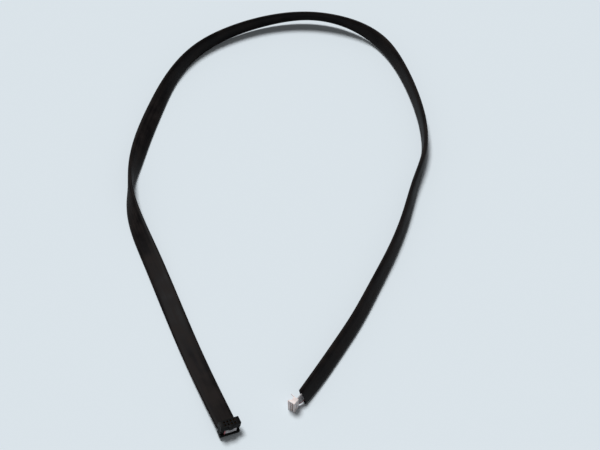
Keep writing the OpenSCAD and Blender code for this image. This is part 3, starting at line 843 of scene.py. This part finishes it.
def ribbon_pvc(grey, red):
    """Extruded ribbon insulation: smooth grey PVC, a little waxy, with its first way dyed red."""
    material = new_material("ribbon_pvc")
    tree = material.node_tree
    place = add_node(tree, "ShaderNodeTexCoord").outputs["Object"]
    lane = add_node(tree, "ShaderNodeAttribute", {"attribute_name": "lane"}).outputs["Fac"]
    # Cloudiness about 3 mm across, and a skin drawn as coarse as 0.2 mm.
    cloud = add_node(tree, "ShaderNodeTexNoise",
                     inputs={"Vector": place, "Scale": 1 / (3 * MM), "Detail": 3.0})
    grain = add_node(tree, "ShaderNodeTexNoise",
                     inputs={"Vector": place, "Scale": 1 / (0.2 * MM), "Detail": 2.0})
    first = add_node(tree, "ShaderNodeMath", {"operation": "LESS_THAN"}, {0: lane, 1: 1.5})
    dyed = add_node(tree, "ShaderNodeMix", {"data_type": "RGBA"}, {0: first, 6: grey, 7: red}).outputs[2]
    shade = add_node(tree, "ShaderNodeMapRange",
                     inputs={0: cloud, 1: NOISE_LOW, 2: NOISE_HIGH, 3: 0.92, 4: 1.04})
    tint = add_node(tree, "ShaderNodeHueSaturation", inputs={"Value": shade, "Color": dyed})
    skin = add_node(tree, "ShaderNodeBump",
                    inputs={"Height": grain, "Strength": 0.3, "Distance": 0.01 * MM})
    rough = add_node(tree, "ShaderNodeMapRange",
                     inputs={0: cloud, 1: NOISE_LOW, 2: NOISE_HIGH, 3: 0.38, 4: 0.5})
    shader = add_node(tree, "ShaderNodeBsdfPrincipled", inputs={
        "Base Color": tint, "Roughness": rough, "Normal": skin,
        "Subsurface Weight": 0.15, "Subsurface Scale": 0.4 * MM, "Subsurface Radius": (1.0, 0.8, 0.8)})
    add_node(tree, "ShaderNodeOutputMaterial", inputs={"Surface": shader})
    return material


def glass_filled_polyester(black):
    """Moulded polyester with glass fibre: near black and even, its fine spark-eroded skin half dull."""
    material = new_material("glass_filled_polyester")
    tree = material.node_tree
    place = add_node(tree, "ShaderNodeTexCoord").outputs["Object"]
    # A mould skin drawn as coarse as 0.18 mm, and flow marks about 4 mm across.
    grain = add_node(tree, "ShaderNodeTexNoise",
                     inputs={"Vector": place, "Scale": 1 / (0.18 * MM), "Detail": 3.0})
    flow = add_node(tree, "ShaderNodeTexNoise",
                    inputs={"Vector": place, "Scale": 1 / (4 * MM), "Detail": 2.0,
                            "Distortion": 0.8})
    shade = add_node(tree, "ShaderNodeMapRange",
                     inputs={0: flow, 1: NOISE_LOW, 2: NOISE_HIGH, 3: 0.85, 4: 1.2})
    tint = add_node(tree, "ShaderNodeHueSaturation", inputs={"Value": shade, "Color": black})
    rough = add_node(tree, "ShaderNodeMapRange",
                     inputs={0: flow, 1: NOISE_LOW, 2: NOISE_HIGH, 3: 0.44, 4: 0.58})
    skin = add_node(tree, "ShaderNodeBump",
                    inputs={"Height": grain, "Strength": 0.5, "Distance": 0.015 * MM})
    shader = add_node(tree, "ShaderNodeBsdfPrincipled", inputs={
        "Base Color": tint, "Roughness": rough, "Normal": skin, "IOR": 1.55,
        "Specular IOR Level": 0.07})
    add_node(tree, "ShaderNodeOutputMaterial", inputs={"Surface": shader})
    return material


def natural_nylon(white):
    """Moulded nylon without dye: warm white, slightly see-through at thin walls, softly shining."""
    material = new_material("natural_nylon")
    tree = material.node_tree
    place = add_node(tree, "ShaderNodeTexCoord").outputs["Object"]
    # Clouds about 2.5 mm across from uneven cooling, and a skin drawn as coarse as 0.15 mm.
    cloud = add_node(tree, "ShaderNodeTexNoise",
                     inputs={"Vector": place, "Scale": 1 / (2.5 * MM), "Detail": 2.0})
    grain = add_node(tree, "ShaderNodeTexNoise",
                     inputs={"Vector": place, "Scale": 1 / (0.15 * MM), "Detail": 2.0})
    shade = add_node(tree, "ShaderNodeMapRange",
                     inputs={0: cloud, 1: NOISE_LOW, 2: NOISE_HIGH, 3: 0.95, 4: 1.03})
    tint = add_node(tree, "ShaderNodeHueSaturation", inputs={"Value": shade, "Color": white})
    skin = add_node(tree, "ShaderNodeBump",
                    inputs={"Height": grain, "Strength": 0.3, "Distance": 0.01 * MM})
    rough = add_node(tree, "ShaderNodeMapRange",
                     inputs={0: cloud, 1: NOISE_LOW, 2: NOISE_HIGH, 3: 0.4, 4: 0.52})
    shader = add_node(tree, "ShaderNodeBsdfPrincipled", inputs={
        "Base Color": tint, "Roughness": rough, "Normal": skin, "IOR": 1.53,
        "Subsurface Weight": 0.3, "Subsurface Scale": 0.6 * MM, "Subsurface Radius": (1.0, 0.8, 0.7)})
    add_node(tree, "ShaderNodeOutputMaterial", inputs={"Surface": shader})
    return material


def rolled_metal(name, tint, smooth, dull):
    """Plated strip stamped from a rolled sheet: bright, with fine rolling lines and dull spots."""
    material = new_material(name)
    tree = material.node_tree
    place = add_node(tree, "ShaderNodeTexCoord").outputs["Object"]
    # Rolling lines drawn as coarse as 0.06 mm apart, and spots of dull plating about 0.6 mm across.
    stretched = add_node(tree, "ShaderNodeMapping", inputs={
        "Vector": place, "Scale": (1 / (0.06 * MM), 1 / (0.06 * MM), 1 / (1.5 * MM))})
    lines = add_node(tree, "ShaderNodeTexNoise",
                     inputs={"Vector": stretched, "Scale": 1.0, "Detail": 2.0})
    spots = add_node(tree, "ShaderNodeTexNoise",
                     inputs={"Vector": place, "Scale": 1 / (0.6 * MM), "Detail": 3.0})
    shade = add_node(tree, "ShaderNodeMapRange",
                     inputs={0: spots, 1: NOISE_LOW, 2: NOISE_HIGH, 3: 0.88, 4: 1.04})
    toned = add_node(tree, "ShaderNodeHueSaturation", inputs={"Value": shade, "Color": tint})
    rough = add_node(tree, "ShaderNodeMapRange",
                     inputs={0: spots, 1: NOISE_LOW, 2: NOISE_HIGH, 3: smooth, 4: dull})
    rolled = add_node(tree, "ShaderNodeBump",
                      inputs={"Height": lines, "Strength": 0.3, "Distance": 0.004 * MM})
    shader = add_node(tree, "ShaderNodeBsdfPrincipled", inputs={
        "Base Color": toned, "Roughness": rough, "Normal": rolled, "Metallic": 1.0})
    add_node(tree, "ShaderNodeOutputMaterial", inputs={"Surface": shader})
    return material


def matt_board(tint):
    """Smooth matt board: pale and even, with a faint tooth and no shine."""
    material = new_material("matt_board")
    tree = material.node_tree
    place = add_node(tree, "ShaderNodeTexCoord").outputs["Object"]
    # A paper tooth drawn as coarse as 0.8 mm.
    tooth = add_node(tree, "ShaderNodeTexNoise",
                     inputs={"Vector": place, "Scale": 1 / (0.8 * MM), "Detail": 2.0})
    shade = add_node(tree, "ShaderNodeMapRange",
                     inputs={0: tooth, 1: NOISE_LOW, 2: NOISE_HIGH, 3: 0.985, 4: 1.0})
    toned = add_node(tree, "ShaderNodeHueSaturation", inputs={"Value": shade, "Color": tint})
    shader = add_node(tree, "ShaderNodeBsdfPrincipled", inputs={
        "Base Color": toned, "Roughness": 0.95, "Specular IOR Level": 0.1})
    add_node(tree, "ShaderNodeOutputMaterial", inputs={"Surface": shader})
    return material


# ---- Repeated pieces ----

def rows_tree():
    """Copies of a piece on a grid of columns and rows, with every second row turned half round."""
    tree = bpy.data.node_groups.get("Rows of Pieces")
    if tree:
        return tree
    tree = new_tree("Rows of Pieces", [
        ("Piece", "NodeSocketGeometry"), ("Columns", "NodeSocketInt"), ("Rows", "NodeSocketInt"),
        ("Column Span", "NodeSocketFloat"), ("Row Span", "NodeSocketFloat"),
        ("Material", "NodeSocketMaterial"),
    ])
    given = add_node(tree, "NodeGroupInput").outputs
    grid = add_node(tree, "GeometryNodeMeshGrid", inputs={
        "Size X": given["Column Span"], "Size Y": given["Row Span"],
        "Vertices X": given["Columns"], "Vertices Y": given["Rows"]}).outputs["Mesh"]
    row = add_node(tree, "FunctionNodeIntegerMath", {"operation": "MODULO"}, {
        0: add_node(tree, "GeometryNodeInputIndex"), 1: given["Rows"]})
    turn = add_node(tree, "ShaderNodeMath", {"operation": "MULTIPLY"}, {0: row, 1: math.pi})
    upright = add_node(tree, "ShaderNodeCombineXYZ", inputs={2: turn})
    copies = add_node(tree, "GeometryNodeInstanceOnPoints", inputs={
        "Points": grid, "Instance": given["Piece"],
        "Rotation": add_node(tree, "FunctionNodeEulerToRotation", inputs={0: upright})})
    finish_tree(tree, copies, given["Material"])
    return tree


def in_rows(shape, name, place, columns, rows, pitch, material):
    """One object of copies of the shape, laid a pitch apart on the place's own axes."""
    bmesh.ops.recalc_face_normals(shape, faces=shape.faces)
    mesh = grown(mesh_of(shape, name), rows_tree(), {
        "Columns": columns, "Rows": rows, "Column Span": (columns - 1) * pitch,
        "Row Span": (rows - 1) * pitch, "Material": material})
    x, y, z = points_of(mesh).T[:, :, None]
    move_points(mesh, at(place, x, y, z))
    return outward([mesh], name, material)


def contact_shape(ribbon, socket):
    """A contact round its pin's line: a fork for the core and a bent pair of spring leaves."""
    shape = bmesh.new()
    fork = -ribbon.pitch / 2
    reach = socket.slot / 2 + socket.tine
    tip = -ribbon.lobe - socket.fork_in
    shoulder = tip + TINE_SHOULDER * socket.tine
    half = socket.leaf_width / 2

    def tine(side):
        edges = (reach, reach - TINE_POINT * socket.tine, socket.slot / 2)
        outer, point, inner = (fork + side * e for e in edges)
        corners = [(outer, shoulder), (point, tip), (inner, shoulder), (inner, 0)]
        return corners if side < 0 else corners[::-1]

    plate = [(fork - reach, socket.plate), *tine(-1), *tine(1), (fork + reach, 0), (half, 0),
             (half, socket.plate)]
    prism(shape, [(x, -socket.sheet / 2, z) for x, z in plate], (0, socket.sheet, 0))

    wide = socket.pin_hole / 2 + socket.leaf / 2
    foot = socket.plate + socket.leaf / 2
    top = socket.leaf_top
    leaf = [(wide * y, top * z) for y, z in (*LEAF_BRANCH, (LEAF_FOOT, foot / top))]
    path = [(-y, z) for y, z in leaf] + leaf[::-1]
    outline = strip_outline(path, socket.leaf)
    prism(shape, [(-half, y, min(z, top)) for y, z in outline], (socket.leaf_width, 0, 0))
    return shape


def terminal_shape(ribbon, housing):
    """A crimp terminal in front of its wire's end: a folded box with a seam, and an open-seam barrel."""
    shape = bmesh.new()
    outer = housing.side / 2
    inner = outer - housing.sheet
    seam = 0.03 * MM
    back = -ribbon.wire_in
    front = -housing.length + housing.front_in
    box_end = front + housing.box_length
    fold = [(-seam, outer), (-outer, outer), (-outer, -outer), (outer, -outer), (outer, outer),
            (seam, outer), (seam, inner), (inner, inner), (inner, -inner), (-inner, -inner),
            (-inner, inner), (-seam, inner)]
    prism(shape, [(x, front, z) for x, z in fold], (0, box_end - front, 0))

    radius = housing.barrel / 2
    bore = ribbon.core / 2
    seam_end, seam_start = 95, 445   # degrees, so that the seam stands open at the top
    barrel = [*arc(0, radius, seam_end, seam_start, BARREL_STEPS),
              *arc(0, bore, seam_start, seam_end, BARREL_STEPS)]
    prism(shape, [(x, box_end + housing.sheet, z) for x, z in barrel],
          (0, back - box_end - 2 * housing.sheet, 0))
    side = 0.6 * bore
    floor = [(-side, -radius), (side, -radius), (side, -bore), (-side, -bore)]
    prism(shape, [(x, box_end - housing.sheet, z) for x, z in floor], (0, 3 * housing.sheet, 0))
    return shape


# ---- Operators ----

def settings(context, *names):
    """The scene's groups of settings with these names."""
    return [getattr(context.scene, f"ribbon_cable_{name}") for name in names]


def press_dents(mesh, frames):
    """Push in the upper wide face at each dent."""
    points = points_of(mesh)
    along = np.empty(len(points))
    mesh.attributes["along"].data.foreach_get("value", along)
    centres = np.array([f.centre for f in frames])
    rings = reached(centres)
    ring = np.abs(along[:, None] - rings[None, :]).argmin(axis=1)
    across, face = (np.array([getattr(f, axis) for f in frames])[ring] for axis in ("across", "face"))
    half_width = np.array([f.spread[0] for f in frames])[ring]
    off = points - centres[ring]
    sideways = (off * across).sum(axis=1)
    upper = (off * face).sum(axis=1) > 0
    for spans, place, depth, radius in DENTS:
        here = np.interp(spans / SPANS * (len(frames) - 1), np.arange(len(frames)), rings)
        reach = np.hypot(along - here, sideways - place * half_width) / radius
        sunk = depth * np.exp(-reach ** 2) * upper
        points -= sunk[:, None] * face
    move_points(mesh, points)


class RIBBONCABLE_OT_stage(bpy.types.Operator):
    """Make the floor, the light and the camera"""
    bl_idname = "ribbon_cable.stage"
    bl_label = "Stage"

    def execute(self, context):
        [stage] = settings(context, "stage")
        self.make_floor(stage)
        self.make_light(context, stage)
        self.make_camera(context, stage)
        context.scene.view_settings.view_transform = "Standard"
        return {"FINISHED"}

    def make_floor(self, stage):
        shape = bmesh.new()
        bmesh.ops.create_grid(shape, x_segments=1, y_segments=1, size=stage.floor_size / 2)
        mesh = mesh_of(shape, "floor")
        mesh.materials.append(matt_board(tuple(stage.floor)))
        new_object("floor", mesh)

    def make_light(self, context, stage):
        lamp = bpy.data.lights.new("overhead", "SUN")
        lamp.energy = stage.lamp_strength
        lamp.angle = stage.lamp_breadth
        overhead = new_object("overhead", lamp)
        overhead.location = stage.lamp_side
        overhead.rotation_euler = Vector(stage.lamp_side).to_track_quat("Z", "Y").to_euler()
        world = bpy.data.worlds.new("sky")
        world.use_nodes = True
        tree = world.node_tree
        tree.nodes.clear()
        sky = add_node(tree, "ShaderNodeBackground",
                       inputs={"Color": linear("#ffffff"), "Strength": stage.sky})
        backdrop = add_node(tree, "ShaderNodeBackground",
                            inputs={"Color": tuple(stage.backdrop), "Strength": 1.0})
        seen = add_node(tree, "ShaderNodeLightPath").outputs["Is Camera Ray"]
        both = add_node(tree, "ShaderNodeMixShader",
                        inputs={0: seen, 1: sky, 2: backdrop})
        add_node(tree, "ShaderNodeOutputWorld", inputs={"Surface": both})
        context.scene.world = world

    def make_camera(self, context, stage):
        lens = bpy.data.cameras.new("camera")
        lens.lens = stage.lens
        lens.clip_start = 0.01
        camera = new_object("camera", lens)
        back = Vector((0, -math.cos(stage.camera_pitch), math.sin(stage.camera_pitch)))
        camera.location = Vector(stage.camera_aim) + stage.camera_distance * back
        camera.rotation_euler = (math.pi / 2 - stage.camera_pitch, 0, 0)
        context.scene.camera = camera


class RIBBONCABLE_OT_housing(bpy.types.Operator):
    """Make the white crimp housing"""
    bl_idname = "ribbon_cable.housing"
    bl_label = "Crimp housing"

    def execute(self, context):
        [housing] = settings(context, "housing")
        nylon = natural_nylon(tuple(housing.white))
        keep(moulded("crimp_housing", "white_housing", housing.edge, nylon),
             "housing_moulding", "crimp_housing")
        return {"FINISHED"}


class RIBBONCABLE_OT_ribbon(bpy.types.Operator):
    """Make the ribbon's insulation, from the clamp to the free wires"""
    bl_idname = "ribbon_cable.ribbon"
    bl_label = "Ribbon"

    def execute(self, context):
        sleeve, ribbon, socket, housing = settings(context, "sleeve", "ribbon", "socket", "housing")
        pvc = ribbon_pvc(tuple(ribbon.grey), tuple(ribbon.red))
        route = inner_frames(sleeve, ribbon, ribbon.route_step)
        fold = fold_frames(socket_place(socket), ribbon, socket, FOLD_STEPS)
        meshes = [swept(fold + route, ribbon_outline(ribbon, LOBE_STEPS), pvc)]
        for way in WAYS:
            wire = wire_frames(way, route[-1], housing_place(housing), ribbon, WIRE_STEPS)
            meshes.append(swept(wire, wire_outline(way, ribbon.lobe / 2, WIRE_SIDES), pvc))
        keep(outward(meshes, "ribbon", pvc, close=True), "ribbon", "ribbon_insulation")
        return {"FINISHED"}


class RIBBONCABLE_OT_cores(bpy.types.Operator):
    """Make the eight stranded cores"""
    bl_idname = "ribbon_cable.cores"
    bl_label = "Cores"

    def execute(self, context):
        sleeve, ribbon, socket, housing = settings(context, "sleeve", "ribbon", "socket", "housing")
        tinned = rolled_metal("tinned_copper_strand", tuple(housing.tin), 0.3, 0.45)
        route = inner_frames(sleeve, ribbon, 2 * ribbon.route_step)
        fold = fold_frames(socket_place(socket), ribbon, socket, CORE_FOLD_STEPS)
        fold[0] = straight_on(fold[0], -ribbon.proud)
        meshes = []
        for way in WAYS:
            x = lobe_x(way, ribbon)
            in_ribbon = [f._replace(centre=f.centre + x * f.across) for f in fold + route]
            free = wire_frames(way, route[-1], housing_place(housing), ribbon, CORE_WIRE_STEPS)[1:]
            ends = [*in_ribbon, *free, straight_on(free[-1], ribbon.bare)]
            meshes.append(swept(ends, strand_outline(ribbon.core, way, STRAND_STEPS), tinned))
        keep(outward(meshes, "cores", tinned, close=True), "core", *(f"conductor_{w}" for w in WAYS))
        return {"FINISHED"}


class RIBBONCABLE_OT_sleeve(bpy.types.Operator):
    bl_idname = "ribbon_cable.sleeve"
    bl_label = "Sleeve"

    def execute(self, context):
        [sleeve] = settings(context, "sleeve")
        pvc = soft_pvc_tube(tuple(sleeve.black), tuple(sleeve.worn_and_sheen))
        frames = sleeve_frames(sleeve)
        flat = round_sided(
            sleeve.flat_width / 2, sleeve.flat_thickness / 2, FLAT_FULLNESS, sleeve.points)
        edge = round_sided(
            sleeve.edge_width / 2, sleeve.edge_thickness / 2, EDGE_FULLNESS, sleeve.points)
        mesh = swept(frames, flat, pvc, edge, sleeve.unevenness)
        press_dents(mesh, frames)
        tube = outward([mesh], "tube", pvc)
        wall = tube.modifiers.new("Wall", "SOLIDIFY")
        wall.thickness = sleeve.wall
        wall.offset = -1
        skin = evaluated(tube)
        bpy.data.objects.remove(tube)
        skin.set_sharp_from_angle(angle=TUBE_CREASE)
        skin = new_object("sleeve_skin", skin)
        keep(skin, "sleeve", "sleeve")
        return {"FINISHED"}


class RIBBONCABLE_OT_socket(bpy.types.Operator):
    """Make the socket's body, its cover and its strain relief"""
    bl_idname = "ribbon_cable.socket"
    bl_label = "Socket"

    def execute(self, context):
        [socket] = settings(context, "socket")
        polyester = glass_filled_polyester(tuple(socket.black))
        for node, name in (("idc_body", "socket_body"), ("idc_cover", "socket_cover"),
                           ("strain_relief", "socket_relief")):
            keep(moulded(node, name, socket.edge, polyester), "socket_moulding", node)
        return {"FINISHED"}


class RIBBONCABLE_OT_contacts(bpy.types.Operator):
    """Make the socket's eight contacts"""
    bl_idname = "ribbon_cable.contacts"
    bl_label = "Contacts"

    def execute(self, context):
        ribbon, socket = settings(context, "ribbon", "socket")
        gold = rolled_metal("gold_flashed_bronze", tuple(socket.gold), 0.22, 0.36)
        place = socket_place(socket)
        level = socket.relief + 2 * ribbon.lobe + socket.cover_height
        place = place._replace(origin=at(place, 0, 0, level))
        piece = in_rows(contact_shape(ribbon, socket), "contacts", place, len(WAYS) // 2, 2,
                        2 * ribbon.pitch, gold)
        keep(piece, "contact", *(f"idc_contact_{w}" for w in WAYS))
        return {"FINISHED"}


class RIBBONCABLE_OT_terminals(bpy.types.Operator):
    """Make the white housing's eight crimp terminals"""
    bl_idname = "ribbon_cable.terminals"
    bl_label = "Terminals"

    def execute(self, context):
        ribbon, housing = settings(context, "ribbon", "housing")
        tin = rolled_metal("tinned_bronze", tuple(housing.tin), 0.28, 0.42)
        place = housing_place(housing)
        place = Place(place.origin, place.z, place.y, -place.x)
        piece = in_rows(terminal_shape(ribbon, housing), "terminals", place, len(WAYS), 1,
                        ribbon.housing_pitch, tin)
        keep(piece, "terminal", *(f"crimp_terminal_{w}" for w in WAYS))
        return {"FINISHED"}


OPERATORS = (
    RIBBONCABLE_OT_stage,
    RIBBONCABLE_OT_housing,
    RIBBONCABLE_OT_ribbon,
    RIBBONCABLE_OT_sleeve,
    RIBBONCABLE_OT_cores,
    RIBBONCABLE_OT_socket,
    RIBBONCABLE_OT_contacts,
    RIBBONCABLE_OT_terminals,
)


class RIBBONCABLE_PT_panel(bpy.types.Panel):
    """The cable's settings and the steps that make it"""
    bl_idname = "RIBBONCABLE_PT_panel"
    bl_label = "Ribbon Cable"
    bl_space_type = "VIEW_3D"
    bl_region_type = "UI"
    bl_category = "Ribbon Cable"

    def draw(self, context):
        for operator in OPERATORS:
            self.layout.operator(operator.bl_idname)
        for name in SETTINGS:
            group = getattr(context.scene, name)
            box = self.layout.box()
            for key in group.__annotations__:
                box.prop(group, key)


def register():
    """Register the settings, the operators and the panel."""
    for name, group in SETTINGS.items():
        bpy.utils.register_class(group)
        setattr(bpy.types.Scene, name, PointerProperty(type=group))
    for operator in OPERATORS:
        bpy.utils.register_class(operator)
    bpy.utils.register_class(RIBBONCABLE_PT_panel)


def unregister():
    """Undo register."""
    bpy.utils.unregister_class(RIBBONCABLE_PT_panel)
    for operator in reversed(OPERATORS):
        bpy.utils.unregister_class(operator)
    for name, group in reversed(SETTINGS.items()):
        delattr(bpy.types.Scene, name)
        bpy.utils.unregister_class(group)


def main():
    """Register the settings, the operators and the panel, and make every piece in order."""
    register()
    for operator in OPERATORS:
        step = operator.bl_idname.split(".")[1]
        getattr(bpy.ops.ribbon_cable, step)()


if __name__ == "__main__":
    main()
